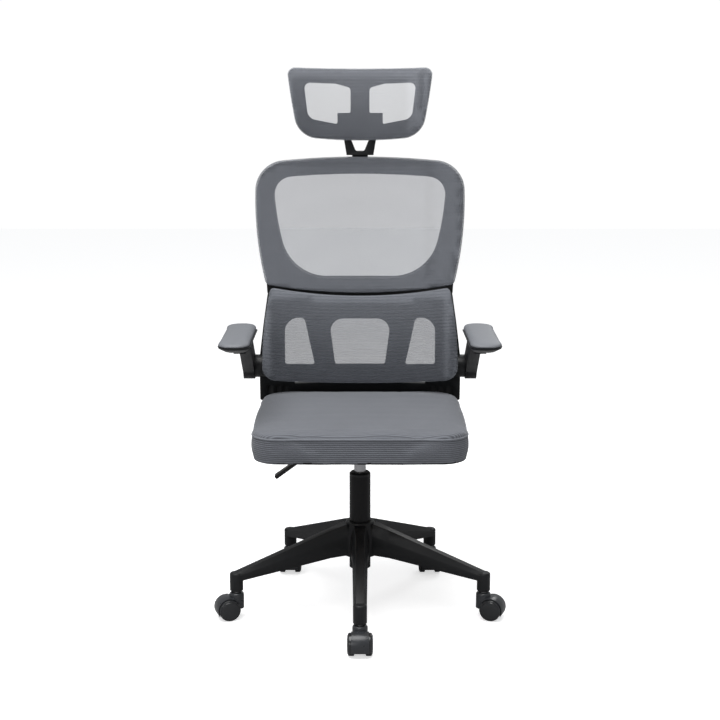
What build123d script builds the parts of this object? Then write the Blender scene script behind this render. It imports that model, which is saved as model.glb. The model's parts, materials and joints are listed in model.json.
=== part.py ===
from build123d import *
import math
import os

# An office chair with a mesh back, a headrest, flip-up arms and a five-star caster base.
# Millimetres. Origin on the floor under the column axis. +Z is up, and the sitter faces -Y.

os.makedirs("parts", exist_ok=True)

# ---- base and casters ----
STEM_CIRCLE = 302.0          # radius of the circle of caster stems
LEG_ANGLES = {"front": -90, "right_front": -18, "right_rear": 54, "left_rear": 126, "left_front": 198}
TRAIL_ANGLES = {"front": -90, "right_front": -20, "right_rear": -90, "left_rear": -90, "left_front": 200}
HUB_TOP = 206.0
HUB_BOTTOM = 126.0
LEG_ROOT = 36.0              # the leg's first section, inside the hub
FOOT_BOTTOM = 65.0
FOOT_R = 15.5
WHEEL_R = 25.0
WHEEL_INNER = 12.4           # from the caster's middle plane to a wheel's inner face
WHEEL_OUTER = 28.4
AXLE_R = 3.95
AXLE_OFFSET = 22.0           # from the swivel axis back to the wheel axle
HOOD_TOP = 61.5
HOOD_NOSE_R = 17.0
FENDER_IN = 25.8
FENDER_OUT = 27.6
FENDER_WIDTH = 39.0
STEM_R = 5.5
RUNNING = 0.06               # radial clearance of a running fit

# ---- column ----
TUBE_R = 25.0
TUBE_WALL = 3.0
TUBE_BOTTOM = 92.0
TUBE_TOP = 317.0
CYLINDER_R = 14.0
CYLINDER_BOTTOM = 124.0
CYLINDER_TOP = 374.0
ROD_R = 5.0
BUTTON_R = 4.0
BUTTON_TOP = 377.5

# ---- mechanism ----
PIVOT_Y = -45.0              # tilt axle
PIVOT_Z = 380.0
HOUSING_HALF = 58.0
HOUSING_FLOOR = 352.0
SHEET = 2.5                  # pressed steel
AXLE_HALF = 70.0
TILT_AXLE_R = 6.0
LEVER_Z = 381.0
LEVER_R = 3.5
LEVER_PIVOT_X = -33.0
LEVER_BEND_X = -104.0
LEVER_DROP = 26.0            # over the 36 mm after the bend
PLATE_TOP = 404.0            # underside of the seat board

# ---- seat ----
SEAT_HALF = 246.0
SEAT_FRONT = -242.0
SEAT_REAR = 225.0
BOARD_THICK = 12.0
CUSHION_TOP = 466.0

# ---- back: two families of doubly curved, parallel skins ----
PLAN_RADIUS = 900.0          # both curve forward at the sides
JOIN_Z = 720.0               # where the lumbar curve hands over to the upper curve
UPPER_RADIUS = 2000.0        # side view of the upper back, centre in front
UPPER_LEAN = 16.7            # degrees back from vertical at JOIN_Z
UPPER_FRONT = 218.0          # front of the upper mesh at JOIN_Z
LOWER_RADIUS = 533.0         # side view of the lower frame, centre behind
LOWER_MID_Z = 600.0
LOWER_FRONT = 227.3
LUMBAR_RADIUS = 420.0
LUMBAR_MID_Z = 590.0
LUMBAR_FRONT = 178.0
HEAD_RADIUS = 400.0
HEAD_MID_Z = 1160.0
HEAD_FRONT = 262.0
HEAD_PLAN_RADIUS = 600.0
MESH_THICK = 3.0
RING_THICK = 18.5
FRAME_THICK = 22.0
PAD_FRAME_THICK = 14.0

# ---- arms ----
ARM_PIVOT_Y = 200.0
ARM_PIVOT_Z = 540.0
ARM_INNER = 258.5            # X of the arm's inner face
ARM_OUTER = 286.0
ARM_EYE_R = 32.0
ARM_BOLT_R = 8.0
PAD_X = 279.0
PAD_Y = -35.0
PAD_LENGTH = 280.0
PAD_WIDTH = 74.0
ARM_TOP = 632.0
SHELL_TOP = 651.0
PAD_TOP = 661.0

# ---- headrest bracket ----
HEAD_PIN_Y = 340.0
HEAD_PIN_Z = 1034.0
HEAD_PIN_R = 4.0
BARREL_R = 10.0
PRONG_IN = 23.5
PRONG_OUT = 39.0
PRONG_FRONT = 292.0
PRONG_BACK = 302.0
PRONG_TOP = 1150.0
NECK_LOW = 1050.0
NECK_TOP = 1059.0


# ---------------------------------------------------------------- helpers

def save(name, shape):
    shape.label = name
    export_step(shape, f"parts/{name}.step")


def cyl(radius, start, end):
    """A cylinder from one point to another."""
    start = Vector(*start)
    run = Vector(*end) - start
    plane = Plane(origin=start, z_dir=run)
    return plane * Cylinder(radius, run.length, align=(Align.CENTER, Align.CENTER, Align.MIN))


def block(x0, x1, y0, y1, z0, z1):
    """A box between two corners."""
    size = Box(x1 - x0, y1 - y0, z1 - z0)
    return Pos((x0 + x1) / 2, (y0 + y1) / 2, (z0 + z1) / 2) * size


def side_prism(points, x0, x1, radius=0.0):
    """A (y, z) polygon, with rounded corners if asked, pushed along X."""
    face = Polygon(*points, align=None)
    if radius:
        face = fillet(face.vertices(), radius)
    return Plane(origin=(x0, 0, 0), x_dir=(0, 1, 0), z_dir=(1, 0, 0)) * extrude(face, x1 - x0, dir=(0, 0, 1))


def front_prism(face, y0, y1):
    """An (x, z) face, drawn as (x, y), pushed along Y."""
    plane = Plane(origin=(0, y1, 0), x_dir=(1, 0, 0), z_dir=(0, -1, 0))
    return plane * extrude(face, y1 - y0, dir=(0, 0, 1))


def rounded(points, radii):
    """A polygon whose corners have their own radii, 0 for a sharp one."""
    face = Polygon(*points, align=None)
    for (x, y), radius in zip(points, radii):
        if radius:
            corner = face.vertices().sort_by_distance((x, y, 0))[0]
            face = fillet(corner, radius)
    return face


def bowed(corners, mids, radii):
    """A closed outline of arcs from corner to corner, each through its mid point, with rounded corners."""
    count = len(corners)
    arcs = []
    for index in range(count):
        start = corners[index]
        end = corners[(index + 1) % count]
        arcs.append(ThreePointArc(start, mids[index], end))
    face = make_face(arcs)
    for (x, y), radius in zip(corners, radii):
        if radius:
            corner = face.vertices().sort_by_distance((x, y, 0))[0]
            face = fillet(corner, radius)
    return face


def mirror_points(half):
    """Right-hand points, top to bottom, followed by their mirror images, bottom to top."""
    return half + [(-x, y) for x, y in reversed(half)]


def skin(centre_y, centre_z, radius, side, front, back, plan_radius, z_low, z_high, half=280.0):
    """A doubly curved slab. side is 1 with the side view's centre in front, and -1 with it behind.
    front and back are the depths of its two faces behind the reference surface."""
    face_y = centre_y + side * radius
    sag = plan_radius - math.sqrt(plan_radius**2 - half**2)
    near = face_y + front
    far = face_y + back
    edges = [
        ThreePointArc((-half, near - sag), (0, near), (half, near - sag)),
        Line((half, near - sag), (half, far - sag)),
        ThreePointArc((half, far - sag), (0, far), (-half, far - sag)),
        Line((-half, far - sag), (-half, near - sag)),
    ]
    band = Pos(0, 0, centre_z) * make_face(edges)
    low = side * math.degrees(math.asin((z_low - centre_z) / radius))
    high = side * math.degrees(math.asin((z_high - centre_z) / radius))
    axis = Axis((0, centre_y, centre_z), (1, 0, 0))
    return revolve(band.rotate(axis, low), axis, high - low)


def upper_skin(front, back):
    lean = math.radians(UPPER_LEAN)
    centre_y = UPPER_FRONT - UPPER_RADIUS * math.cos(lean)
    centre_z = JOIN_Z + UPPER_RADIUS * math.sin(lean)
    return skin(centre_y, centre_z, UPPER_RADIUS, 1, front, back, PLAN_RADIUS, 640, 1120)


def upper_y(x, z, depth):
    """Depth of the upper back's surfaces at a point."""
    lean = math.radians(UPPER_LEAN)
    centre_y = UPPER_FRONT - UPPER_RADIUS * math.cos(lean)
    centre_z = JOIN_Z + UPPER_RADIUS * math.sin(lean)
    reach = UPPER_RADIUS + depth - x * x / (2 * PLAN_RADIUS)
    return centre_y + math.sqrt(reach**2 - (z - centre_z) ** 2)


def lower_skin(front, back):
    centre_y = LOWER_FRONT + LOWER_RADIUS
    return skin(centre_y, LOWER_MID_Z, LOWER_RADIUS, -1, front, back, PLAN_RADIUS, 370, 790)


def lower_y(x, z, depth):
    reach = LOWER_RADIUS - depth + x * x / (2 * PLAN_RADIUS)
    return LOWER_FRONT + LOWER_RADIUS - math.sqrt(reach**2 - (z - LOWER_MID_Z) ** 2)


def lumbar_skin(front, back):
    centre_y = LUMBAR_FRONT + LUMBAR_RADIUS
    return skin(centre_y, LUMBAR_MID_Z, LUMBAR_RADIUS, -1, front, back, PLAN_RADIUS, 460, 790)


def head_skin(front, back):
    centre_y = HEAD_FRONT + HEAD_RADIUS
    return skin(centre_y, HEAD_MID_Z, HEAD_RADIUS, -1, front, back, HEAD_PLAN_RADIUS, 1050, 1300, 220)


# ---------------------------------------------------------------- outlines of the back

def upper_outline(inset=0.0):
    bottom = 743 + inset
    top = 1030 - inset
    corners = [(-227.5 + inset, bottom), (-249.5 + inset, top), (249.5 - inset, top),
               (227.5 - inset, bottom)]
    mids = [(-252.5 + inset, 900), (0, 1044.3 - inset), (252.5 - inset, 900), (0, 720 + inset)]
    return bowed(corners, mids, [16, 70, 70, 16])


def upper_window():
    corners = [(-163, 755), (-213, 996), (213, 996), (163, 755)]
    mids = [(-200.5, 878), (0, 1005), (200.5, 878), (0, 753.5)]
    return bowed(corners, mids, [115, 46, 46, 115])


def lumbar_outline():
    corners = [(-236, 514), (-216, 734), (216, 734), (236, 514)]
    mids = [(-232.5, 625), (0, 711), (232.5, 625), (0, 499.5)]
    return bowed(corners, mids, [36, 10, 10, 36])


def lumbar_windows():
    middle = rounded([(-61, 546), (-76, 660), (76, 660), (61, 546)], [6, 30, 30, 6])
    right = rounded([(110, 546), (135, 664), (183, 664), (183, 549)], [6, 14, 34, 6])
    return [middle, right, mirror(right, Plane.YZ)]


def head_outline():
    corners = [(-148.5, 1099), (-175, 1260.5), (175, 1260.5), (148.5, 1099)]
    mids = [(-164, 1182), (0, 1257), (164, 1182), (0, 1088)]
    return bowed(corners, mids, [58, 17, 17, 58])


def head_windows():
    points = [(55, 1126), (55, 1152.5), (23, 1152.5), (23, 1213), (60, 1223), (136, 1225.5), (126, 1140)]
    right = rounded(points, [4, 5, 5, 10, 30, 13, 24])
    return [right, mirror(right, Plane.YZ)]


# ---------------------------------------------------------------- base

def leg_section(r, bottom, top, foot, ridge):
    """A leg's cross-section: upright flanks, then bevels up to a narrow ridge."""
    shoulder = bottom + 0.6 * (top - bottom)
    points = [(-foot / 2, bottom), (foot / 2, bottom), (foot / 2, shoulder), (ridge / 2, top),
              (-ridge / 2, top), (-foot / 2, shoulder)]
    return Plane(origin=(r, 0, 0), x_dir=(0, 1, 0), z_dir=(1, 0, 0)) * Polygon(*points, align=None)


def leg():
    body = loft([leg_section(LEG_ROOT, 129, 203, 44, 28), leg_section(78, 125, 189, 36, 19),
                 leg_section(STEM_CIRCLE, 90, 110, 30, 18)], ruled=True)
    pocket = loft([leg_section(62, 100, 158, 27, 14), leg_section(STEM_CIRCLE - 30, 70, 104, 22, 13)],
                  ruled=True)
    ribs = []
    for index in range(4):
        r = 95 + 45 * index
        ribs.append(block(r - 1.5, r + 1.5, -15, 15, 90, 160))
    hollow = pocket - ribs
    foot = cyl(FOOT_R, (STEM_CIRCLE, 0, FOOT_BOTTOM), (STEM_CIRCLE, 0, 109))
    foot = fillet(foot.edges().sort_by(Axis.Z)[-1], 5)
    foot = chamfer(foot.edges().sort_by(Axis.Z)[0], 1.5)
    socket = cyl(STEM_R + RUNNING, (STEM_CIRCLE, 0, FOOT_BOTTOM - 1), (STEM_CIRCLE, 0, 94))
    return (body - hollow) + foot - socket


def five_star_base():
    profile = [(0, HUB_BOTTOM), (43, HUB_BOTTOM), (43, 180), (33, HUB_TOP), (0, HUB_TOP)]
    hub = revolve(Plane.XZ * Polygon(*profile, align=None), Axis.Z)
    for angle in LEG_ANGLES.values():
        hub += Rot(0, 0, angle) * leg()
    return hub - cyl(TUBE_R, (0, 0, HUB_BOTTOM - 5), (0, 0, HUB_TOP + 5))


def caster_hood():
    """The caster faces +X: its swivel axis is Z and its wheels trail towards +X."""
    half = FENDER_WIDTH / 2
    ring = cyl(FENDER_OUT, (AXLE_OFFSET, -half, WHEEL_R), (AXLE_OFFSET, half, WHEEL_R))
    web = block(-30, 60, -WHEEL_INNER + 0.4, WHEEL_INNER - 0.4, 15, 90)
    nose = cyl(HOOD_NOSE_R, (0, 0, 24), (0, 0, HOOD_TOP))
    nose = fillet(nose.edges().sort_by(Axis.Z)[-1], 6)
    wells = []
    for side in (-1, 1):
        start = side * (WHEEL_INNER - 0.4)
        wells.append(cyl(FENDER_IN, (AXLE_OFFSET, start, WHEEL_R), (AXLE_OFFSET, side * 40, WHEEL_R)))
    outside = ring - wells
    ahead = block(AXLE_OFFSET, 60, -30, 30, 12, 90)
    above = block(-30, AXLE_OFFSET + 1, -30, 30, 36, 90)
    hood = (outside & (ahead + above)) + ((nose + ring) & web) + (nose - wells)
    hood = hood & block(-30, 60, -30, 30, 12, 90)
    axle_hole = cyl(AXLE_R, (AXLE_OFFSET, -30, WHEEL_R), (AXLE_OFFSET, 30, WHEEL_R))
    stem_hole = cyl(STEM_R, (0, 0, 38), (0, 0, 70))
    return hood - axle_hole - stem_hole


def caster_pins():
    axle = cyl(AXLE_R, (AXLE_OFFSET, -21.5, WHEEL_R), (AXLE_OFFSET, 21.5, WHEEL_R))
    stem = cyl(STEM_R, (0, 0, 38), (0, 0, 90))
    stem = chamfer(stem.edges().sort_by(Axis.Z)[-1], 1.5)
    stem += cyl(8, (0, 0, HOOD_TOP), (0, 0, FOOT_BOTTOM - 0.5))
    return axle, stem


def caster_wheel(side):
    """One of the pair. side is -1 or 1, along the axle."""
    points = [(AXLE_R + RUNNING, WHEEL_INNER), (23.6, WHEEL_INNER), (WHEEL_R, 13.8), (WHEEL_R, 23.4),
              (24.2, 25.4), (22.2, 26.6), (21.2, 26.2), (20.4, 27.6), (12, WHEEL_OUTER), (0, WHEEL_OUTER),
              (0, 22), (AXLE_R + RUNNING, 22)]
    face = Plane.XZ * Polygon(*points, align=None)
    wheel = revolve(face, Axis.Z)
    turn = Rot(-90 * side, 0, 0)
    return Pos(AXLE_OFFSET, 0, WHEEL_R) * turn * wheel


def make_base():
    save("five_star_base", five_star_base())
    for name, leg_angle in LEG_ANGLES.items():
        spot = Rot(0, 0, leg_angle) * Pos(STEM_CIRCLE, 0, 0)
        centre = spot.position
        place = Pos(centre.X, centre.Y, 0) * Rot(0, 0, TRAIL_ANGLES[name])
        axle, stem = caster_pins()
        save(f"caster_hood_{name}", place * caster_hood())
        save(f"caster_pins_{name}", Compound(children=[place * axle, place * stem]))
        save(f"caster_wheel_a_{name}", place * caster_wheel(1))
        save(f"caster_wheel_b_{name}", place * caster_wheel(-1))


# ---------------------------------------------------------------- column

def make_column():
    tube = cyl(TUBE_R, (0, 0, TUBE_BOTTOM), (0, 0, TUBE_TOP))
    tube -= cyl(TUBE_R - TUBE_WALL, (0, 0, TUBE_BOTTOM + 4), (0, 0, TUBE_TOP + 1))
    tube -= cyl(ROD_R + 1, (0, 0, TUBE_BOTTOM - 1), (0, 0, TUBE_BOTTOM + 5))
    save("outer_tube", tube)

    bush = cyl(TUBE_R - TUBE_WALL, (0, 0, 245), (0, 0, TUBE_TOP))
    cap = cyl(TUBE_R, (0, 0, TUBE_TOP), (0, 0, TUBE_TOP + 9))
    cap = chamfer(cap.edges().sort_by(Axis.Z)[-1], 4)
    bush = bush + cap - cyl(CYLINDER_R + RUNNING, (0, 0, 240), (0, 0, 330))
    save("guide_bush", bush)

    bearing = cyl(17, (0, 0, TUBE_BOTTOM + 4), (0, 0, TUBE_BOTTOM + 11))
    bearing -= cyl(ROD_R + RUNNING, (0, 0, TUBE_BOTTOM), (0, 0, TUBE_BOTTOM + 12))
    save("thrust_bearing", bearing)

    rod = cyl(ROD_R, (0, 0, 86), (0, 0, 340))
    rod += cyl(CYLINDER_R - 2 - RUNNING, (0, 0, 332), (0, 0, 340))
    save("piston_rod", rod)

    clip = cyl(9, (0, 0, 88), (0, 0, 90)) - cyl(ROD_R, (0, 0, 87), (0, 0, 91))
    save("retaining_clip", clip)

    bumper = cyl(13, (0, 0, TUBE_BOTTOM + 11.2), (0, 0, CYLINDER_BOTTOM - 0.3))
    bumper -= cyl(ROD_R, (0, 0, TUBE_BOTTOM), (0, 0, CYLINDER_BOTTOM))
    save("rubber_bumper", bumper)

    gas = cyl(CYLINDER_R, (0, 0, CYLINDER_BOTTOM), (0, 0, CYLINDER_TOP))
    gas -= cyl(CYLINDER_R - 2, (0, 0, CYLINDER_BOTTOM + 8), (0, 0, 352))
    gas -= cyl(ROD_R + RUNNING, (0, 0, CYLINDER_BOTTOM - 1), (0, 0, CYLINDER_BOTTOM + 9))
    gas -= cyl(BUTTON_R + RUNNING, (0, 0, 360), (0, 0, CYLINDER_TOP + 1))
    save("gas_cylinder", gas)

    save("release_button", cyl(BUTTON_R, (0, 0, 366), (0, 0, BUTTON_TOP)))


# ---------------------------------------------------------------- mechanism

def make_mechanism():
    side = [(-26, HOUSING_FLOOR), (-30, 360.5), (-66, 360.5), (-66, 390), (-22, 390), (12, 383), (62, 369),
            (62, HOUSING_FLOOR)]
    housing = side_prism(side, -HOUSING_HALF, HOUSING_HALF)
    inner = [(-24, HOUSING_FLOOR + SHEET), (-28, 363), (-63.5, 363), (-63.5, 400), (62 - SHEET, 400),
             (62 - SHEET, HOUSING_FLOOR + SHEET)]
    housing -= side_prism(inner, -HOUSING_HALF + SHEET, HOUSING_HALF - SHEET)
    housing += cyl(20, (0, 0, HOUSING_FLOOR), (0, 0, 371))
    housing -= cyl(CYLINDER_R, (0, 0, HOUSING_FLOOR - 1), (0, 0, 372))
    housing -= cyl(TILT_AXLE_R + RUNNING, (-80, PIVOT_Y, PIVOT_Z), (80, PIVOT_Y, PIVOT_Z))
    housing -= block(-62, -50, -4.5, 4.5, LEVER_Z - 4.5, 400)
    save("mechanism_housing", housing)

    springs = []
    for sign in (-1, 1):
        turns = []
        for index in range(7):
            x = sign * (13.5 + 5.0 * index)
            turns.append(cyl(16.5, (x, PIVOT_Y, PIVOT_Z), (x + sign * 4.2, PIVOT_Y, PIVOT_Z)))
        core = cyl(14, (sign * 13.5, PIVOT_Y, PIVOT_Z), (sign * 47.7, PIVOT_Y, PIVOT_Z))
        coil = core + turns
        springs.append(coil - cyl(8.5, (sign * 10, PIVOT_Y, PIVOT_Z), (sign * 50, PIVOT_Y, PIVOT_Z)))
    save("tilt_springs", Compound(children=springs))

    axle = cyl(TILT_AXLE_R, (-AXLE_HALF, PIVOT_Y, PIVOT_Z), (AXLE_HALF, PIVOT_Y, PIVOT_Z))
    save("tilt_axle", axle)

    slider = block(-38, -28, -11, 11, 362, 386) - block(-39, -27, -LEVER_R - 1, LEVER_R + 1, 372, 388)
    slider -= cyl(1.5, (LEVER_PIVOT_X, -12, LEVER_Z), (LEVER_PIVOT_X, 12, LEVER_Z))
    save("lock_slider", slider)

    rod = cyl(LEVER_R, (4, 0, LEVER_Z), (LEVER_BEND_X, 0, LEVER_Z))
    rod += Pos(LEVER_BEND_X, 0, LEVER_Z) * Sphere(LEVER_R)
    rod += cyl(LEVER_R, (LEVER_BEND_X, 0, LEVER_Z), (LEVER_BEND_X - 36, 0, LEVER_Z - LEVER_DROP))
    pin = cyl(1.44, (LEVER_PIVOT_X, -11, LEVER_Z), (LEVER_PIVOT_X, 11, LEVER_Z))
    save("lever_rod", Compound(children=[rod - pin, pin]))

    grip = side_prism([(-9, 0), (9, 0), (14, 104), (-14, 104)], -4.2, 4.2, 3)
    grip = fillet(grip.edges().filter_by(GeomType.LINE), 1.2)
    slope = math.degrees(math.atan2(36, LEVER_DROP))
    grip = Pos(LEVER_BEND_X - 10.8, 0, LEVER_Z - 0.3 * LEVER_DROP) * Rot(0, 180 + slope, 0) * grip
    save("lever_paddle", grip - rod)


# ---------------------------------------------------------------- seat

def seat_plan(inset=0.0):
    half = SEAT_HALF - inset
    front = SEAT_FRONT + inset
    rear = SEAT_REAR - inset
    corners = [(-half + 7.5, front), (-half + 9, rear), (half - 9, rear), (half - 7.5, front)]
    mids = [(-half, -70), (0, rear + 0.5), (half, -70), (0, front - 1.5)]
    return bowed(corners, mids, [62, 88, 88, 62])


SEAT_BOLTS = [(-80, -90), (80, -90), (-80, 80), (80, 80)]
TONGUE_BOLTS = [(-70, 135), (70, 135), (-70, 180), (70, 180)]


def bolt_set(spots, under, length, r=4.0, head=6.5):
    bolts = []
    for x, y in spots:
        shank = cyl(r, (x, y, under), (x, y, under + length))
        bolts.append(shank + cyl(head, (x, y, under - 5), (x, y, under)))
    return bolts


def make_seat():
    plate = block(-100, 100, -110, 100, PLATE_TOP - 3, PLATE_TOP)
    plate = fillet(plate.edges().filter_by(Axis.Z), 12)
    flange = [(-76, PLATE_TOP - 2), (-72, 370), (-66, 366), (-22, 366), (-16, 370), (-12, PLATE_TOP - 2)]
    ear = side_prism(flange, 0, SHEET)
    plate += Pos(60, 0, 0) * ear
    plate += Pos(-60 - SHEET, 0, 0) * ear
    plate -= cyl(TILT_AXLE_R, (-80, PIVOT_Y, PIVOT_Z), (80, PIVOT_Y, PIVOT_Z))
    plate_bolts = bolt_set(SEAT_BOLTS, PLATE_TOP - 3, 3 + BOARD_THICK)
    tongue_bolts = bolt_set(TONGUE_BOLTS, PLATE_TOP - 12, 12 + BOARD_THICK)
    save("seat_plate", plate - plate_bolts)

    board = Pos(0, 0, PLATE_TOP) * extrude(seat_plan(16), BOARD_THICK)
    save("seat_board", board - plate_bolts - tongue_bolts)
    save("seat_bolts", Compound(children=plate_bolts + tongue_bolts))

    cushion = Pos(0, 0, PLATE_TOP) * extrude(seat_plan(), CUSHION_TOP - PLATE_TOP)
    cushion = fillet(cushion.edges().group_by(Axis.Z)[-1], 7)
    pocket = Pos(0, 0, PLATE_TOP - 1) * extrude(seat_plan(15.5), 1 + BOARD_THICK)
    save("seat_cushion", cushion - pocket)
    return tongue_bolts


# ---------------------------------------------------------------- back

def frame_ring():
    """The upper half of the frame, with the headrest's two lugs."""
    depth = MESH_THICK + RING_THICK + 0.5
    shoulders = Polygon((-227, JOIN_Z), (-231, 775), (231, 775), (227, JOIN_Z), align=None)
    face = upper_outline(3) + shoulders - upper_window()
    ring = upper_skin(depth, depth + FRAME_THICK) & front_prism(face, 100, 450)
    ring = ring & block(-300, 300, 0, 500, JOIN_Z, 1100)
    ring = ring + head_lug(20, 32) + head_lug(-32, -20)
    return ring - cyl(HEAD_PIN_R, (-40, HEAD_PIN_Y, HEAD_PIN_Z), (40, HEAD_PIN_Y, HEAD_PIN_Z))


def frame_panel(tongue_bolts):
    """The lower half: two side bars, a crossbar, a tongue under the seat and a boss for each arm."""
    half = [(226, JOIN_Z), (236, 650), (247, 560), (248, 452), (160, 404), (118, 392)]
    face = Polygon(*mirror_points(half), align=None)
    opening = rounded([(-205, 496), (-200, 700), (200, 700), (205, 496)], [30, 20, 20, 30])
    face = face - opening
    for side in (-1, 1):
        face -= Pos(side * 133, 496) * RectangleRounded(60, 12, 4)
    panel = lower_skin(0.5, 20) & front_prism(face, 100, 450)
    tongue = block(-110, 110, 108, 272, PLATE_TOP - 12, PLATE_TOP - 0.3)
    tongue = fillet(tongue.edges().filter_by(Axis.Z).group_by(Axis.Y)[0], 20)
    panel += tongue
    for side in (-1, 1):
        start = (side * 230, ARM_PIVOT_Y, ARM_PIVOT_Z)
        panel += cyl(28, start, (side * (ARM_INNER - 0.3), ARM_PIVOT_Y, ARM_PIVOT_Z))
    for side in (-1, 1):
        panel -= arm_bolt(side)
    return panel - corner_recesses() - tongue_bolts


def corner_recesses():
    """Fan-shaped weight-saving pockets low on each side of the frame."""
    cuts = []
    for side in (-1, 1):
        for index in range(3):
            x = side * (222 - 19 * index)
            face = Pos(x, 474) * RectangleRounded(13, 26, 4)
            near = lower_y(x, 474, 0) - 8
            cuts.append(front_prism(face, near, near + 13))
    return cuts


UPPER_SCREWS = [(0, 738), (150, 746), (-150, 746), (228, 900), (-228, 900), (140, 1020), (-140, 1020)]
LUMBAR_SCREWS = [(211, 585), (-211, 585), (211, 665), (-211, 665)]


def back_screws():
    screws = []
    for x, z in UPPER_SCREWS:
        head = upper_y(x, z, MESH_THICK + RING_THICK + 0.5 + FRAME_THICK)
        shank = cyl(2.5, (x, head - 36, z), (x, head - 2.5, z))
        screws.append(shank + cyl(5, (x, head - 2.5, z), (x, head + 1.5, z)))
    for x, z in LUMBAR_SCREWS:
        head = lower_y(x, z, 20)
        shank = cyl(2.5, (x, head - 38, z), (x, head - 2.5, z))
        screws.append(shank + cyl(5, (x, head - 2.5, z), (x, head + 1.5, z)))
    return screws


def head_lug(x0, x1):
    web = side_prism([(312, 1012), (340, 1024.5), (349, 1034), (334, 1042), (312, 1044)], x0, x1)
    return web + cyl(BARREL_R, (x0, HEAD_PIN_Y, HEAD_PIN_Z), (x1, HEAD_PIN_Y, HEAD_PIN_Z))


def arm_bolt(side):
    axis = (ARM_PIVOT_Y, ARM_PIVOT_Z)
    shank = cyl(ARM_BOLT_R, (side * 232, *axis), (side * (ARM_OUTER - 5), *axis))
    return shank + cyl(12, (side * (ARM_OUTER - 5), *axis), (side * (ARM_OUTER - 1), *axis))


def make_back(tongue_bolts):
    screws = back_screws()
    save("arm_bolt_right", arm_bolt(1))
    save("arm_bolt_left", arm_bolt(-1))
    save("back_frame", frame_ring() + frame_panel(tongue_bolts))
    save("back_screws", Compound(children=screws))
    save("headrest_pin", cyl(HEAD_PIN_R, (-32, HEAD_PIN_Y, HEAD_PIN_Z), (32, HEAD_PIN_Y, HEAD_PIN_Z)))

    face = upper_outline(2) - upper_window()
    ring = upper_skin(MESH_THICK + 0.2, MESH_THICK + RING_THICK) & front_prism(face, 100, 450)
    save("upper_ring", ring)
    save("upper_mesh", upper_skin(0, MESH_THICK) & front_prism(upper_outline(), 100, 450))

    lumbar = lumbar_skin(MESH_THICK + 0.2, MESH_THICK + PAD_FRAME_THICK)
    lumbar = lumbar & front_prism(lumbar_outline() - lumbar_windows(), 50, 450)
    for x, z in LUMBAR_SCREWS:
        stop = lower_y(x, z, 0) - 2.8
        boss = cyl(9, (x, stop - 40, z), (x, stop, z))
        lumbar += boss - lumbar_skin(-60, MESH_THICK + 2)
    save("lumbar_frame", lumbar)
    save("lumbar_mesh", lumbar_skin(0, MESH_THICK) & front_prism(lumbar_outline(), 50, 450))


# ---------------------------------------------------------------- headrest

def make_headrest():
    outline = [(-33, NECK_LOW), (-PRONG_OUT, 1086), (-PRONG_OUT, PRONG_TOP), (PRONG_OUT, PRONG_TOP),
               (PRONG_OUT, 1086), (33, NECK_LOW)]
    slot = rounded([(-10, NECK_TOP), (-PRONG_IN, 1092), (-PRONG_IN, 1200), (PRONG_IN, 1200),
                    (PRONG_IN, 1092), (10, NECK_TOP)], [9, 12, 0, 0, 12, 9])
    fork = front_prism(Polygon(*outline, align=None) - slot, PRONG_FRONT, PRONG_BACK)
    neck = side_prism([(296, NECK_LOW), (296, NECK_TOP), (338, NECK_TOP), (348, 1052), (350, 1034),
                       (334.5, 1034), (334.5, NECK_LOW)], -19.6, 19.6)
    barrel = cyl(BARREL_R, (-19.6, HEAD_PIN_Y, HEAD_PIN_Z), (19.6, HEAD_PIN_Y, HEAD_PIN_Z))
    neck_hole = cyl(HEAD_PIN_R + RUNNING, (-30, HEAD_PIN_Y, HEAD_PIN_Z), (30, HEAD_PIN_Y, HEAD_PIN_Z))
    save("headrest_bracket", fork + neck + barrel - neck_hole)

    face = head_outline() - head_windows()
    frame = head_skin(MESH_THICK + 0.2, MESH_THICK + PAD_FRAME_THICK) & front_prism(face, 150, 400)
    carrier = block(-55, 55, 240, 306, 1097, 1152.5)
    carrier = fillet(carrier.edges().filter_by(Axis.Z), 5)
    carrier -= head_skin(-120, MESH_THICK + 2)
    frame += carrier
    for side in (-1, 1):
        x0, x1 = sorted((side * (PRONG_IN - 0.2), side * (PRONG_OUT + 0.2)))
        frame -= block(x0, x1, PRONG_FRONT - 0.2, PRONG_BACK + 0.2, 1000, 1300)
    save("headrest_frame", frame)
    save("headrest_mesh", head_skin(0, MESH_THICK) & front_prism(head_outline(), 150, 400))


# ---------------------------------------------------------------- arms

def pad_plan(grow):
    width = PAD_WIDTH + 2 * grow
    length = PAD_LENGTH + 2 * grow
    return RectangleRounded(width, length, width / 2 - 3)


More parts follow.
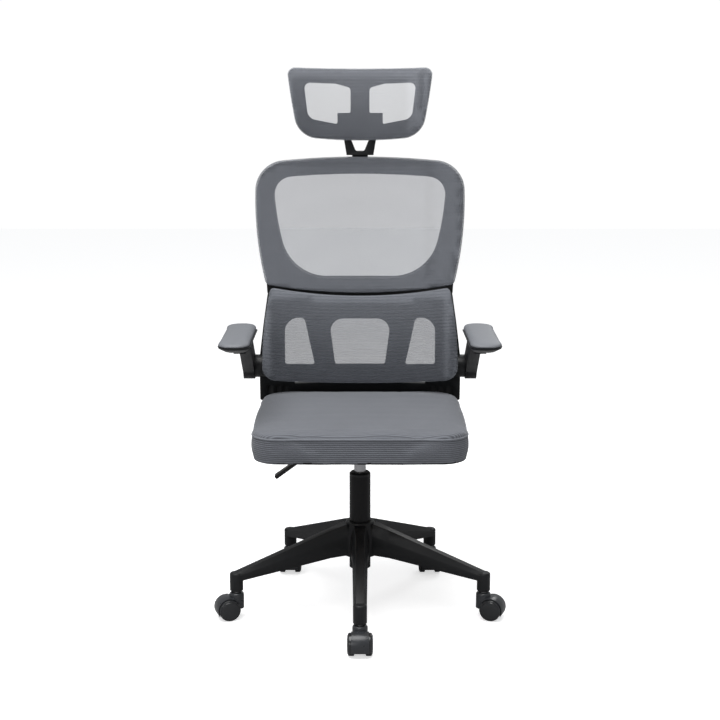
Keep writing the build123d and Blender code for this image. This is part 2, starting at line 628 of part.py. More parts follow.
def make_arm(side, word):
    """Drawn for the right-hand side, then mirrored for the left."""
    eye = cyl(ARM_EYE_R, (ARM_INNER, ARM_PIVOT_Y, ARM_PIVOT_Z), (ARM_OUTER, ARM_PIVOT_Y, ARM_PIVOT_Z))
    beam = side_prism([(212, 569), (112, ARM_TOP), (-84, ARM_TOP), (-84, ARM_TOP - 9), (44, ARM_TOP - 15),
                       (170, 528), (200, 540)], ARM_INNER, ARM_OUTER)
    table = block(PAD_X - 20, PAD_X + 20, -88, 80, ARM_TOP - 6, ARM_TOP)
    table = fillet(table.edges().filter_by(Axis.Z), 10)
    arm = eye + beam + table
    outside = (ARM_OUTER + 1, ARM_PIVOT_Y, ARM_PIVOT_Z)
    arm -= cyl(ARM_BOLT_R + RUNNING, (ARM_INNER - 1, ARM_PIVOT_Y, ARM_PIVOT_Z), outside)
    arm -= cyl(12.3, (ARM_OUTER - 5.2, ARM_PIVOT_Y, ARM_PIVOT_Z), outside)

    sole = RectangleRounded(PAD_WIDTH - 24, PAD_LENGTH - 112, 20)
    tub = loft([Pos(PAD_X, PAD_Y, ARM_TOP) * sole, Pos(PAD_X, PAD_Y, SHELL_TOP - 4) * pad_plan(-2),
                Pos(PAD_X, PAD_Y, SHELL_TOP) * pad_plan(0)], ruled=True)
    pad = Pos(PAD_X, PAD_Y, SHELL_TOP) * extrude(pad_plan(-0.5), PAD_TOP - SHELL_TOP)
    pad = fillet(pad.edges().group_by(Axis.Z)[-1], 7)
    screws = bolt_set([(PAD_X, -70), (PAD_X, -5), (PAD_X, 55)], ARM_TOP - 6, 20, 2.5, 4.5)
    screws = [screw & block(200, 400, -200, 200, ARM_TOP - 9, 700) for screw in screws]
    pieces = {"arm": arm - screws, "arm_shell": tub - screws, "arm_pad": pad}
    for name, solid in pieces.items():
        save(f"{name}_{word}", solid if side > 0 else mirror(solid, Plane.YZ))
    if side < 0:
        screws = [mirror(screw, Plane.YZ) for screw in screws]
    save(f"arm_screws_{word}", Compound(children=screws))


make_base()
make_column()
make_mechanism()
make_back(make_seat())
make_headrest()
make_arm(1, "right")
make_arm(-1, "left")
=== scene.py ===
# %% [markdown]
# # An office chair with a mesh back
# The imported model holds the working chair: every moulding, axle and joint at its real size.
# This lesson dresses it. The hard parts keep their shapes and get softened edges and finishes.
# The mesh, the seat cushion and the arm pads are made again as the soft things they are.

import json
import math

import bmesh
import bpy
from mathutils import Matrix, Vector
from mathutils.bvhtree import BVHTree

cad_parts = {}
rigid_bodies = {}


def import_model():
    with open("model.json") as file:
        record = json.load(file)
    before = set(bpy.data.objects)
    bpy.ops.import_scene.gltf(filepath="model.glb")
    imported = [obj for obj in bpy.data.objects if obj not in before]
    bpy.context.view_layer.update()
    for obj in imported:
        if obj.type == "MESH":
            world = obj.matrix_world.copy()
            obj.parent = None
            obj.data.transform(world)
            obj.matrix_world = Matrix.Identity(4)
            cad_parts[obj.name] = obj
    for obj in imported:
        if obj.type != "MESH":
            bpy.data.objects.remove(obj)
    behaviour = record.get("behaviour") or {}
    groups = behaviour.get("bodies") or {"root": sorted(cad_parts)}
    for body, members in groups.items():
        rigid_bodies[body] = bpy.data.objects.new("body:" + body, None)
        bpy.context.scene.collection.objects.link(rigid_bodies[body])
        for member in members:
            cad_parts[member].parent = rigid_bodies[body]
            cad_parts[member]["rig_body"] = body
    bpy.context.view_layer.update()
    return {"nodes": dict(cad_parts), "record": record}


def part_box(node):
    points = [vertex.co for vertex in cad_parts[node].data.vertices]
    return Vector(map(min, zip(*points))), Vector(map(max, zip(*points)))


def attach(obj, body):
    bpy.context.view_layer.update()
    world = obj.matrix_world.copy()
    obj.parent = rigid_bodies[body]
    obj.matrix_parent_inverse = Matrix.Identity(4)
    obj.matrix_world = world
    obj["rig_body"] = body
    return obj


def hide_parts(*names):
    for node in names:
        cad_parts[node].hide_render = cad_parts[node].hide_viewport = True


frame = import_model()
nodes = frame["nodes"]
slot_of = {part["node"]: part["material_slot"] for part in frame["record"]["subparts"]}
print("loaded", len(nodes), "parts")

MM = 0.001

# %% [markdown]
# ## Camera, floor and light
# The chair is looked at from standing height, a little from above, with a long lens so that
# its sides stay parallel. A large soft panel overhead lights the seat and arm pads most. The
# room adds a dim glow from every side, so that black parts stay black, yet the backdrop
# itself looks white to the camera. A small front panel and one behind draw the edges.

# %% Camera
camera_data = bpy.data.cameras.new("camera")
camera_data.lens = 71.94
camera_data.sensor_width = 36.0
camera = bpy.data.objects.new("camera", camera_data)
bpy.context.scene.collection.objects.link(camera)
camera.location = (0.0, -3.2817, 1.2263)
camera.rotation_euler = (math.radians(90 - 10.927), 0, 0)
bpy.context.scene.camera = camera

# %% Floor and light
def area_light(name, spot, aim, size, power):
    """A round soft panel that faces the point aim."""
    data = bpy.data.lights.new(name, "AREA")
    data.shape = "DISK"
    data.size = size
    data.energy = power
    lamp = bpy.data.objects.new(name, data)
    bpy.context.scene.collection.objects.link(lamp)
    lamp.location = spot
    lamp.rotation_euler = (Vector(aim) - Vector(spot)).to_track_quat("-Z", "Y").to_euler()
    return lamp


def node_link(material, start, end):
    material.node_tree.links.new(start, end)


area_light("overhead", (-0.4, -0.7, 3.2), (0, 0.1, 0.4), 2.6, 105)
area_light("front", (-1.4, -3.2, 1.5), (0, 0, 0.7), 1.2, 12)
area_light("rim", (1.2, 2.4, 2.2), (0, 0.1, 0.8), 1.2, 16)

world = bpy.data.worlds.new("white_room")
bpy.context.scene.world = world
world.use_nodes = True
room = world.node_tree
backdrop = room.nodes["Background"]
backdrop.inputs["Color"].default_value = (1.0, 1.0, 1.0, 1)
backdrop.inputs["Strength"].default_value = 1.02
glow = room.nodes.new("ShaderNodeBackground")
glow.inputs["Color"].default_value = (0.97, 0.985, 1.0, 1)
glow.inputs["Strength"].default_value = 0.4
ray = room.nodes.new("ShaderNodeLightPath")
seen = room.nodes.new("ShaderNodeMixShader")
room.links.new(ray.outputs["Is Camera Ray"], seen.inputs["Fac"])
room.links.new(glow.outputs["Background"], seen.inputs[1])
room.links.new(backdrop.outputs["Background"], seen.inputs[2])
room.links.new(seen.outputs["Shader"], room.nodes["World Output"].inputs["Surface"])
bpy.context.scene.view_settings.view_transform = "Standard"

bpy.ops.object.select_all(action="DESELECT")
bpy.ops.mesh.primitive_plane_add(size=14, location=(0, 2.0, -0.0005))
floor = bpy.context.object
floor.name = "floor"
print("camera, floor and three lights placed")

# %% [markdown]
# ## Finishes
# Every finish starts as a Principled shader. A small noise moves its colour and roughness a
# little, because no moulding or cloth is perfectly even, and a finer one feeds a Bump node
# for the grain that catches the light. Patterns read Object coordinates, in metres, so a
# texture scale of 1000 gives features about a millimetre across.

# %% A shader with grain
def finish(name, colour, roughness, metallic=0.0, grain=900.0, depth=0.06, spread=0.12, mottle=60.0,
           gloss=0.4):
    """A solid finish: two noises vary colour and roughness, and a fine one makes the grain."""
    material = bpy.data.materials.new(name)
    material.use_nodes = True
    tree = material.node_tree
    shader = tree.nodes["Principled BSDF"]
    shader.inputs["Metallic"].default_value = metallic
    shader.inputs["Specular IOR Level"].default_value = gloss
    place = tree.nodes.new("ShaderNodeTexCoord")
    blotch = tree.nodes.new("ShaderNodeTexNoise")
    blotch.inputs["Scale"].default_value = mottle
    blotch.inputs["Detail"].default_value = 4
    node_link(material, place.outputs["Object"], blotch.inputs["Vector"])
    shade = tree.nodes.new("ShaderNodeMix")
    shade.data_type = "RGBA"
    shade.inputs["A"].default_value = (*[c * (1 - spread) for c in colour], 1)
    shade.inputs["B"].default_value = (*[min(c * (1 + spread), 1) for c in colour], 1)
    node_link(material, blotch.outputs["Fac"], shade.inputs["Factor"])
    node_link(material, shade.outputs["Result"], shader.inputs["Base Color"])
    rough = tree.nodes.new("ShaderNodeMapRange")
    rough.inputs["To Min"].default_value = max(roughness - 0.08, 0.03)
    rough.inputs["To Max"].default_value = min(roughness + 0.08, 1.0)
    node_link(material, blotch.outputs["Fac"], rough.inputs["Value"])
    node_link(material, rough.outputs["Result"], shader.inputs["Roughness"])
    speck = tree.nodes.new("ShaderNodeTexNoise")
    speck.inputs["Scale"].default_value = grain
    speck.inputs["Detail"].default_value = 2
    node_link(material, place.outputs["Object"], speck.inputs["Vector"])
    bump = tree.nodes.new("ShaderNodeBump")
    bump.inputs["Strength"].default_value = depth
    bump.inputs["Distance"].default_value = 0.0004
    node_link(material, speck.outputs["Fac"], bump.inputs["Height"])
    node_link(material, bump.outputs["Normal"], shader.inputs["Normal"])
    return material


def plywood(name):
    """Layered birch: long wavy rings across the sheet."""
    material = finish(name, (0.5, 0.33, 0.18), 0.6, grain=500, depth=0.2, spread=0.1)
    tree = material.node_tree
    rings = tree.nodes.new("ShaderNodeTexWave")
    rings.inputs["Scale"].default_value = 18
    rings.inputs["Distortion"].default_value = 9
    rings.inputs["Detail"].default_value = 3
    place = tree.nodes.new("ShaderNodeTexCoord")
    node_link(material, place.outputs["Object"], rings.inputs["Vector"])
    for node in tree.nodes:
        if node.type == "MIX":
            node_link(material, rings.outputs["Fac"], node.inputs["Factor"])
    return material


finishes = {
    "black_nylon": finish("black_nylon", (0.011, 0.0115, 0.0125), 0.42, grain=1400, depth=0.25, gloss=0.28),
    "black_steel": finish("black_steel", (0.006, 0.006, 0.0065), 0.36, grain=2200, depth=0.18, gloss=0.2),
    "chrome": finish("chrome", (0.4, 0.4, 0.41), 0.22, 1.0, grain=500, depth=0.01, spread=0.03),
    "bright_steel": finish("bright_steel", (0.5, 0.5, 0.51), 0.3, 1.0, grain=800, depth=0.05),
    "zinc_screw": finish("zinc_screw", (0.06, 0.06, 0.063), 0.35, 0.9, grain=900, depth=0.05),
    "rubber": finish("rubber", (0.02, 0.02, 0.02), 0.75, grain=700, depth=0.15),
    "plywood": plywood("plywood"),
    "grey_nylon": finish("grey_nylon", (0.022, 0.0235, 0.027), 0.5, grain=1300, depth=0.2),
    "caster_nylon": finish("caster_nylon", (0.03, 0.032, 0.036), 0.3, grain=1500, depth=0.08, gloss=0.45),
    "wheel_nylon": finish("wheel_nylon", (0.017, 0.018, 0.02), 0.22, grain=1200, depth=0.08, gloss=0.5),
}


def pale_floor():
    """Paper that looks white to the camera and throws a softer light back up."""
    material = finish("pale_floor", (0.9, 0.9, 0.905), 0.8, grain=300, depth=0.02, spread=0.004,
                      mottle=2, gloss=0.0)
    tree = material.node_tree
    bright = tree.nodes["Principled BSDF"]
    bright.inputs["Emission Color"].default_value = (1, 1, 1, 1)
    bright.inputs["Emission Strength"].default_value = 0.6
    dim = tree.nodes.new("ShaderNodeBsdfDiffuse")
    dim.inputs["Color"].default_value = (0.42, 0.42, 0.425, 1)
    ray = tree.nodes.new("ShaderNodeLightPath")
    seen = tree.nodes.new("ShaderNodeMixShader")
    tree.links.new(ray.outputs["Is Camera Ray"], seen.inputs["Fac"])
    tree.links.new(dim.outputs["BSDF"], seen.inputs[1])
    tree.links.new(bright.outputs["BSDF"], seen.inputs[2])
    tree.links.new(seen.outputs["Shader"], tree.nodes["Material Output"].inputs["Surface"])
    return material


floor.data.materials.append(pale_floor())
print("made", len(finishes), "solid finishes")

# %% [markdown]
# ## Woven cloth
# The back is a spacer mesh: fine level ribs with rows of small holes between them, so what is
# behind shows through in part. The ribs are a sine wave along the cloth, and the same wave paints
# shade into the colour: darker in each rib's groove, lighter on its crest. Two more waves
# multiplied together make the rows of holes, and they drive a mix with a Transparent shader.
# The seat has the same cloth over foam, so its holes are only dimples. The ribs must follow
# the cloth round every edge, so they read lengths stored on the mesh.

# %% Sine waves for weaves
def maths(tree, operation, first, second=None):
    """A Math node fed with plain numbers or with other nodes' outputs."""
    node = tree.nodes.new("ShaderNodeMath")
    node.operation = operation
    for index, value in enumerate((first, second)):
        if value is None:
            continue
        if isinstance(value, (int, float)):
            node.inputs[index].default_value = value
        else:
            tree.links.new(value, node.inputs[index])
    return node.outputs[0]


def wave_of(tree, length, pitch):
    """0 to 1 and back once in every pitch of a length in metres."""
    wave = maths(tree, "SINE", maths(tree, "MULTIPLY", length, 2 * math.pi / pitch))
    return maths(tree, "ADD", maths(tree, "MULTIPLY", wave, 0.5), 0.5)


def cloth(name, colour, rib_pitch, dot_pitch, see_through=0.0, runs=True, rib_depth=0.5, sheen=0.25):
    """Ribbed cloth with rows of dots, which are holes where see_through is above nought. The ribs also
    paint shade into the colour: darker in each groove, lighter on each crest.
    """
    material = bpy.data.materials.new(name)
    material.use_nodes = True
    tree = material.node_tree
    shader = tree.nodes["Principled BSDF"]
    shader.inputs["Roughness"].default_value = 0.85
    shader.inputs["Sheen Weight"].default_value = sheen
    shader.inputs["Sheen Roughness"].default_value = 0.45
    shader.inputs["Specular IOR Level"].default_value = 0.2
    place = tree.nodes.new("ShaderNodeTexCoord")
    split = tree.nodes.new("ShaderNodeSeparateXYZ")
    tree.links.new(place.outputs["Object"], split.inputs["Vector"])
    across = split.outputs["X"]
    along = split.outputs["Z"]
    if runs:
        stored = [tree.nodes.new("ShaderNodeAttribute") for _ in range(2)]
        stored[0].attribute_name = "rib_run"
        stored[1].attribute_name = "side_run"
        along, across = (node.outputs["Fac"] for node in stored)
    soft = tree.nodes.new("ShaderNodeTexNoise")
    soft.inputs["Scale"].default_value = 22
    soft.inputs["Detail"].default_value = 5
    tree.links.new(place.outputs["Object"], soft.inputs["Vector"])
    drift = maths(tree, "MULTIPLY", soft.outputs["Fac"], rib_pitch * 0.05)
    rib = wave_of(tree, maths(tree, "ADD", along, drift), rib_pitch)
    dots_across = wave_of(tree, across, dot_pitch)
    dots_along = wave_of(tree, along, dot_pitch * 1.3)
    dots = maths(tree, "MULTIPLY", dots_across, dots_along)
    # Painted shade: four fifths of the colour mix follow the ribs' height, darker in each groove and
    # lighter on each crest; the last fifth is random tone from the soft noise.
    shade = tree.nodes.new("ShaderNodeMix")
    shade.data_type = "RGBA"
    shade.inputs["A"].default_value = (*[c * 0.62 for c in colour], 1)
    shade.inputs["B"].default_value = (*[c * 1.38 for c in colour], 1)
    painted_rib_shade = maths(tree, "MULTIPLY", rib, 0.8)
    rib_shade_and_mottle = maths(tree, "ADD", painted_rib_shade, maths(tree, "MULTIPLY", soft.outputs["Fac"], 0.2))
    tree.links.new(rib_shade_and_mottle, shade.inputs["Factor"])
    tree.links.new(shade.outputs["Result"], shader.inputs["Base Color"])
    height = maths(tree, "SUBTRACT", rib, maths(tree, "MULTIPLY", dots, 0.6))
    bump = tree.nodes.new("ShaderNodeBump")
    bump.inputs["Strength"].default_value = rib_depth
    bump.inputs["Distance"].default_value = 0.0008
    tree.links.new(height, bump.inputs["Height"])
    tree.links.new(bump.outputs["Normal"], shader.inputs["Normal"])
    if see_through:
        clear = tree.nodes.new("ShaderNodeBsdfTransparent")
        mix = tree.nodes.new("ShaderNodeMixShader")
        holes = maths(tree, "MULTIPLY", maths(tree, "ADD", dots, 1.0), see_through * 0.8)
        tree.links.new(holes, mix.inputs["Fac"])
        tree.links.new(shader.outputs["BSDF"], mix.inputs[1])
        tree.links.new(clear.outputs["BSDF"], mix.inputs[2])
        tree.links.new(mix.outputs["Shader"], tree.nodes["Material Output"].inputs["Surface"])
    return material


upper_cloth = cloth("upper_mesh_cloth", (0.2, 0.211, 0.237), 3.4 * MM, 1.8 * MM, 0.6)
lumbar_cloth = cloth("lumbar_mesh_cloth", (0.215, 0.227, 0.254), 3.4 * MM, 1.8 * MM, 0.47)
head_cloth = cloth("headrest_mesh_cloth", (0.3, 0.315, 0.352), 3.4 * MM, 1.8 * MM, 0.7)
seat_cloth = cloth("seat_cloth", (0.14, 0.147, 0.165), 4.4 * MM, 2.2 * MM, rib_depth=0.8)
under_cloth = cloth("under_cloth", (0.012, 0.012, 0.013), 1.5 * MM, 1.2 * MM, runs=False, rib_depth=0.3,
                    sheen=0.05)
arm_skin = finish("arm_pad_skin", (0.16, 0.167, 0.182), 0.55, grain=800, depth=0.3, spread=0.08)
piping_cloth = cloth("piping_cloth", (0.17, 0.178, 0.198), 1.6 * MM, 1.1 * MM, runs=False, rib_depth=0.4)
print("made the cloths")

# %% [markdown]
# ## Soft edges on the mouldings
# A real moulding has no knife edges: each corner is rounded so that plastic fills the mould.
# A rounded edge also draws a thin line of light, which is most of what makes plastic look
# like plastic. Each hard part is copied, its loose triangles are merged back into flat
# faces, and a Bevel modifier rounds every edge sharper than a limit.

# %% Rounded copies of the hard parts
def only(piece):
    """Selects one piece and makes it the active one."""
    bpy.ops.object.select_all(action="DESELECT")
    piece.hide_set(False)
    piece.select_set(True)
    bpy.context.view_layer.objects.active = piece


def node_copy(node, name):
    """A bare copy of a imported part's mesh, free to be reshaped."""
    piece = nodes[node].copy()
    piece.data = nodes[node].data.copy()
    piece.name = name
    for key in list(piece.keys()):
        del piece[key]
    piece.parent = None
    bpy.context.scene.collection.objects.link(piece)
    piece.data.materials.clear()
    return piece


def apply_all(piece):
    only(piece)
    for modifier in list(piece.modifiers):
        bpy.ops.object.modifier_apply(modifier=modifier.name)


def body_of(node):
    return nodes[node]["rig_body"]


def softened(node, width, limit=32, segments=2):
    """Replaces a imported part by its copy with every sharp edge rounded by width."""
    piece = node_copy(node, node + "_moulding")
    only(piece)
    bpy.ops.object.mode_set(mode="EDIT")
    bpy.ops.mesh.select_all(action="SELECT")
    bpy.ops.mesh.remove_doubles(threshold=0.00002)
    bpy.ops.mesh.dissolve_limited(angle_limit=math.radians(1.5))
    bpy.ops.object.mode_set(mode="OBJECT")
    bevel = piece.modifiers.new("edges", "BEVEL")
    bevel.width = width
    bevel.segments = segments
    bevel.limit_method = "ANGLE"
    bevel.angle_limit = math.radians(limit)
    bevel.miter_outer = "MITER_ARC"
    bevel.harden_normals = False
    apply_all(piece)
    bpy.ops.object.shade_smooth_by_angle(angle=math.radians(38))
    piece.data.materials.append(finishes[slot_of[node]])
    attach(piece, body_of(node))
    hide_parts(node)
    return piece


rounded_parts = {
    "five_star_base": 1.6, "back_frame": 1.8, "headrest_bracket": 1.2, "upper_ring": 1.5,
    "lumbar_frame": 1.2, "headrest_frame": 1.2, "arm_left": 1.8, "arm_right": 1.8,
    "arm_shell_left": 1.2, "arm_shell_right": 1.2, "mechanism_housing": 0.8, "seat_plate": 0.6,
    "lever_paddle": 0.6,
}
for caster in ("front", "left_front", "right_front", "left_rear", "right_rear"):
    rounded_parts["caster_hood_" + caster] = 0.8
    rounded_parts["caster_wheel_a_" + caster] = 0.4
    rounded_parts["caster_wheel_b_" + caster] = 0.4
for node, width in rounded_parts.items():
    softened(node, width * MM)
print("rounded the edges of", len(rounded_parts), "parts")

# %% Finishes on the parts that keep their own mesh
for node, piece in nodes.items():
    if slot_of[node] in finishes:
        piece.data.materials.clear()
        piece.data.materials.append(finishes[slot_of[node]])
        only(piece)
        bpy.ops.object.shade_smooth_by_angle(angle=math.radians(35))

# %% [markdown]
# ## Mesh stretched over the back
# Each pad of the back is a sleeve of mesh pulled over a frame: flat and tight across the
# window, then rolled round the frame's edge to its back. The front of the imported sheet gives
# the outline. It is melted into one face and cut into an even net, and each point of the net
# is laid on the pad's double curve: an arc seen from the side, less a wide arc seen from
# above. The rim is then extruded outwards and back in small steps, as a maker pulls the
# cloth round, and a Solidify modifier gives it the thickness of cloth.

# %% Curves of the three pads
def curve_of_upper(x, z):
    lean = math.radians(16.7)
    reach = 2.0 - 0.9 + math.sqrt(0.81 - x * x)
    drop = z - 0.72 - 2.0 * math.sin(lean)
    return 0.218 - 2.0 * math.cos(lean) + math.sqrt(reach**2 - drop**2)


def curve_of_lumbar(x, z):
    reach = 0.42 + 0.9 - math.sqrt(0.81 - x * x)
    return 0.178 + 0.42 - math.sqrt(reach**2 - (z - 0.59) ** 2)


def curve_of_head(x, z):
    reach = 0.4 + 0.6 - math.sqrt(0.36 - x * x)
    return 0.262 + 0.4 - math.sqrt(reach**2 - (z - 1.16) ** 2)


# %% Pull a sleeve over a pad
def even_net(piece, curve, cell=0.0125):
    """Keeps the side that faces the sitter and cuts it into squares laid on the curve."""
    only(piece)
    bpy.ops.object.mode_set(mode="EDIT")
    bpy.ops.mesh.select_mode(type="FACE")
    bpy.ops.mesh.select_all(action="DESELECT")
    bpy.ops.object.mode_set(mode="OBJECT")
    for polygon in piece.data.polygons:
        polygon.select = polygon.normal.y > -0.5
    bpy.ops.object.mode_set(mode="EDIT")
    bpy.ops.mesh.delete(type="FACE")
    bpy.ops.mesh.select_all(action="SELECT")
    bpy.ops.mesh.remove_doubles(threshold=0.00002)
    bpy.ops.mesh.select_mode(type="EDGE")
    bpy.ops.mesh.select_all(action="DESELECT")
    bpy.ops.mesh.select_non_manifold()
    bpy.ops.mesh.select_all(action="INVERT")
    bpy.ops.mesh.dissolve_edges(use_verts=False)
    bpy.ops.object.mode_set(mode="OBJECT")
    spots = [vertex.co.copy() for vertex in piece.data.vertices]
    bpy.ops.object.mode_set(mode="EDIT")
    for axis, heading in ((0, (1, 0, 0)), (2, (0, 0, 1))):
        start = min(spot[axis] for spot in spots)
        stop = max(spot[axis] for spot in spots)
        cuts = int((stop - start) / cell)
        for index in range(1, cuts):
            place = [0.0, 0.0, 0.0]
            place[axis] = start + (stop - start) * index / cuts
            bpy.ops.mesh.select_all(action="SELECT")
            bpy.ops.mesh.bisect(plane_co=place, plane_no=heading)
    bpy.ops.object.mode_set(mode="OBJECT")
    for vertex in piece.data.vertices:
        vertex.co.y = curve(vertex.co.x, vertex.co.z)


def store_run(piece, along, across):
    """Keeps two lengths of cloth at every point: along the ribs' row count and across it."""
    for name, lengths in (("rib_run", along), ("side_run", across)):
        attribute = piece.data.attributes.new(name, "FLOAT", "POINT")
        attribute.data.foreach_set("value", lengths)


def sleeve(node, name, material, curve, wrap_back, tuck):
    """Covers a pad's frame: wrap_back and tuck are the turn round its edge, in millimetres."""
    piece = node_copy(node, name)
    even_net(piece, curve)
    low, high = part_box(node)
    middle = (low + high) / 2
    half_x = (high.x - low.x) / 2
    half_z = (high.z - low.z) / 2
    only(piece)
    bpy.ops.object.mode_set(mode="EDIT")
    bpy.ops.mesh.select_mode(type="EDGE")
    bpy.ops.mesh.select_all(action="DESELECT")
    bpy.ops.mesh.select_non_manifold()
    steps = [(0.8, 0.5), (0.7, 1.3), (0.4, 2.2), (0.1, wrap_back), (-0.8, 1.8), (-2.0, 1.0), (-tuck, 0.4)]
    for outwards, backwards in steps:
        bpy.ops.mesh.extrude_edges_move()
        bpy.ops.transform.resize(value=(1 + outwards * MM / half_x, 1, 1 + outwards * MM / half_z),
                                 center_override=middle)
        bpy.ops.transform.translate(value=(0, backwards * MM, 0))
    bpy.ops.mesh.select_all(action="SELECT")
    bpy.ops.mesh.normals_make_consistent(inside=False)
    bpy.ops.object.mode_set(mode="OBJECT")
    front = min(piece.data.polygons, key=lambda polygon: polygon.center.y)
    if front.normal.y > 0:
        piece.data.flip_normals()
    thickness = piece.modifiers.new("cloth", "SOLIDIFY")
    thickness.thickness = 0.9 * MM
    thickness.offset = -1
    apply_all(piece)
    along, across = [], []
    for vertex in piece.data.vertices:
        x = (vertex.co.x - middle.x) / half_x
        z = (vertex.co.z - middle.z) / half_z
        depth = max(0.0, vertex.co.y - curve(vertex.co.x, vertex.co.z) - 0.001)
        across.append(vertex.co.x + depth * math.copysign(abs(x) ** 5, x))
        along.append(vertex.co.z + depth * math.copysign(abs(z) ** 5, z))
    store_run(piece, along, across)
    bpy.ops.object.shade_smooth_by_angle(angle=math.radians(50))
    piece.data.materials.append(material)
    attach(piece, body_of(node))
    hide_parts(node)
    return piece


sleeve("upper_mesh", "upper_cover", upper_cloth, curve_of_upper, 14, 10)
sleeve("lumbar_mesh", "lumbar_cover", lumbar_cloth, curve_of_lumbar, 11, 8)
sleeve("headrest_mesh", "headrest_cover", head_cloth, curve_of_head, 11, 7)

# %% [markdown]
# ## The seat cushion
# The cushion is a block of foam in a sewn cover: a top panel, a border all round, and piping
# in the seam between them. The block is remeshed to even squares and blown up a little as
# cloth, so that its faces swell and its corners stay. A cap on how far a point may move keeps
# it from growing into its neighbours. The crown of the top is then pushed up in code.

# %% Blow up a pad
def smooth_step(value):
    value = min(max(value, 0.0), 1.0)
    return value * value * (3 - 2 * value)


def swollen(piece, voxel, cap, pressure=4.0, keep_below=None):
    """Remeshes a closed piece, inflates it as cloth for 20 frames and limits every move."""
    only(piece)
    piece.data.remesh_voxel_size = voxel
    bpy.ops.object.voxel_remesh()
    rest = [vertex.co.copy() for vertex in piece.data.vertices]
    cloth_modifier = piece.modifiers.new("swell", "CLOTH")
    settings = cloth_modifier.settings
    settings.use_pressure = True
    settings.uniform_pressure_force = pressure
    settings.effector_weights.gravity = 0
    settings.quality = 5
    settings.tension_stiffness = 15
    settings.compression_stiffness = 15
    settings.bending_stiffness = 0.5
    scene = bpy.context.scene
    scene.frame_start = 1
    scene.frame_end = 20
    cloth_modifier.point_cache.frame_start = 1
    cloth_modifier.point_cache.frame_end = 20
    for step in range(1, 21):
        scene.frame_set(step)
    only(piece)
    bpy.ops.object.modifier_apply(modifier=cloth_modifier.name)
    scene.frame_set(1)
    for vertex, start in zip(piece.data.vertices, rest):
        move = vertex.co - start
        if keep_below is not None and start.z < keep_below:
            move.z = 0.0
        if move.length > cap:
            move = move * (cap / move.length)
        vertex.co = start + move
    return rest


CROWN = 0.009           # how far the middle of the top stands above its rim
WAIST = 0.0015          # how far the border bulges at mid height
FRONT_WAVE = 0.0022     # slight waves along the front seam
SEAM_DROP = 0.0055      # from the top of the block down to the seam
PIPING_RADIUS = 0.0026
UNDERSIDE_EDGE = 0.0035  # where the dark underside turns up on the border

low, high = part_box("seat_cushion")
cushion = node_copy("seat_cushion", "seat_cushion_cover")
swollen(cushion, 0.0055, 0.006, keep_below=low.z + 0.012)
seat_mid = (low + high) / 2
half_width = (high.x - low.x) / 2
half_depth = (high.y - low.y) / 2
for vertex in cushion.data.vertices:
    across = (vertex.co.x - seat_mid.x) / half_width
    along = (vertex.co.y - seat_mid.y) / half_depth
    upper = smooth_step((vertex.co.z - low.z - 0.03) / 0.03)
    crown = max(0.0, 1 - across**4) * max(0.0, 1 - along**4)
    waist = math.sin(math.pi * min(max((vertex.co.z - low.z) / 0.06, 0), 1))
    vertex.co.z += upper * crown * CROWN
    vertex.co.x += math.copysign(waist * WAIST, across) * abs(across) ** 8
    if along < -0.85:
        vertex.co.z += FRONT_WAVE * math.sin(vertex.co.x * 34) * upper
apply_all(cushion)
smooth = cushion.modifiers.new("even", "SMOOTH")
smooth.iterations = 2
rounder = cushion.modifiers.new("rounder", "SUBSURF")
rounder.levels = 1
rounder.render_levels = 1
apply_all(cushion)
bpy.ops.object.shade_smooth()
print("seat cushion has", len(cushion.data.polygons), "faces")

# %% [markdown]
# The ribs of the top panel run from side to side. The border is a long strip sewn on below
# it, with its ribs level all the way round. Each point keeps its length of cloth both ways,
# and the cloth finish reads them.

# %% Rib lengths on the cushion
along, across = [], []
for vertex in cushion.data.vertices:
    if vertex.co.z > high.z - SEAM_DROP:
        along.append(vertex.co.y)
        across.append(vertex.co.x)
    else:
        along.append(vertex.co.z - 0.7)
        across.append(vertex.co.x + vertex.co.y)
store_run(cushion, along, across)
cushion.data.materials.append(seat_cloth)
cushion.data.materials.append(under_cloth)
for polygon in cushion.data.polygons:
    puckers = 0.0012 * math.sin(polygon.center.x * 41) + 0.0008 * math.sin(polygon.center.x * 97)
    edge = low.z + UNDERSIDE_EDGE + puckers
    if polygon.center.z < edge:
        polygon.material_index = 1
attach(cushion, "seat")
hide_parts("seat_cushion")

# %% [markdown]
# Piping is a cord in a bias strip, sewn into the seam round the top panel. Its path is walked
# round the cushion: a ray from outside at each angle finds the border, and the cord lies
# just under the top edge.

# %% Piping round the top panel
def tree_of(piece):
    mesh = bmesh.new()
    mesh.from_mesh(piece.data)
    tree = BVHTree.FromBMesh(mesh)
    mesh.free()
    return tree


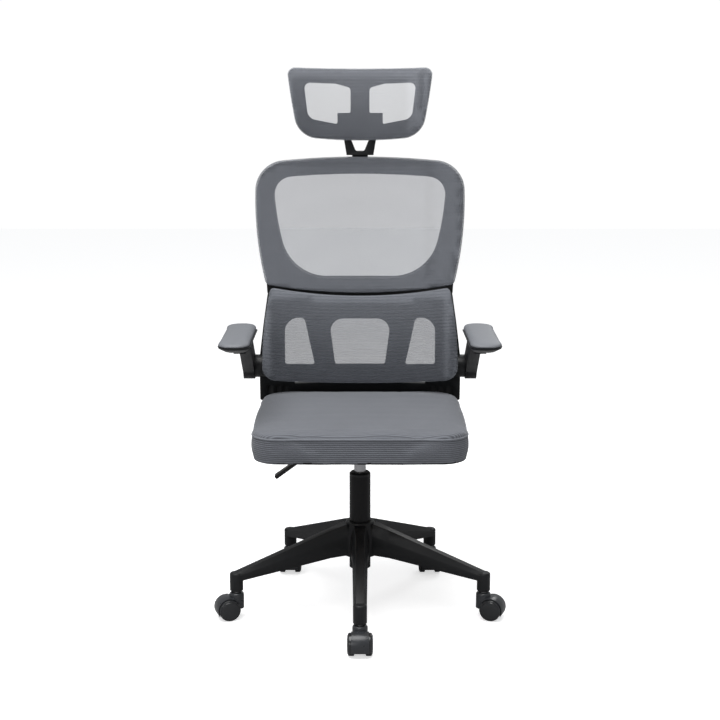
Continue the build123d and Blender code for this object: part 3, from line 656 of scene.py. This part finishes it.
def piping(name, around, centre, drop, radius, material, count=160):
    """A cord that hugs a piece's top edge, drop below the highest point of each side."""
    tree = tree_of(around)
    path = []
    for index in range(count):
        angle = 2 * math.pi * index / count
        heading = Vector((math.cos(angle), math.sin(angle), 0))
        outside = centre + heading * 0.6
        hit = tree.ray_cast(Vector((outside.x, outside.y, centre.z - drop)), -heading)[0]
        path.append(hit - heading * radius * 0.2)
    bpy.ops.object.select_all(action="DESELECT")
    curve = bpy.data.curves.new(name, "CURVE")
    curve.dimensions = "3D"
    spline = curve.splines.new("NURBS")
    spline.points.add(len(path) - 1)
    for point, spot in zip(spline.points, path):
        point.co = (*spot, 1)
    spline.use_cyclic_u = True
    spline.order_u = 3
    curve.bevel_depth = radius
    curve.bevel_resolution = 3
    curve.resolution_u = 2
    cord = bpy.data.objects.new(name, curve)
    bpy.context.scene.collection.objects.link(cord)
    only(cord)
    bpy.ops.object.convert(target="MESH")
    cord = bpy.context.object
    bpy.ops.object.shade_smooth()
    cord.data.materials.append(material)
    return cord


top_centre = Vector((seat_mid.x, seat_mid.y, high.z))
seat_piping = piping("seat_piping", cushion, top_centre, SEAM_DROP, PIPING_RADIUS, piping_cloth)
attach(seat_piping, "seat")

# %% [markdown]
# ## Arm pads
# Each arm pad is soft foam with a smooth skin, domed on top and sitting in its black tub.
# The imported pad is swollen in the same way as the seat.

# %% Domed arm pads
for word in ("left", "right"):
    node = "arm_pad_" + word
    pad = node_copy(node, node + "_skin")
    low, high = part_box(node)
    middle = (low + high) / 2
    swollen(pad, 0.004, 0.0025, keep_below=low.z + 0.003)
    for vertex in pad.data.vertices:
        across = (vertex.co.x - middle.x) / ((high.x - low.x) / 2)
        along = (vertex.co.y - middle.y) / ((high.y - low.y) / 2)
        lift = smooth_step((vertex.co.z - low.z) / (high.z - low.z))
        vertex.co.z += lift * 0.003 * max(0.0, 1 - across**2) * max(0.0, 1 - along**6)
        vertex.co.z -= lift * 0.004 * smooth_step((-along - 0.55) / 0.45)
    smooth = pad.modifiers.new("even", "SMOOTH")
    smooth.iterations = 3
    rounder = pad.modifiers.new("rounder", "SUBSURF")
    rounder.levels = 1
    rounder.render_levels = 1
    apply_all(pad)
    bpy.ops.object.shade_smooth()
    pad.data.materials.append(arm_skin)
    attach(pad, body_of(node))
    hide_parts(node)
print("arm pads done")
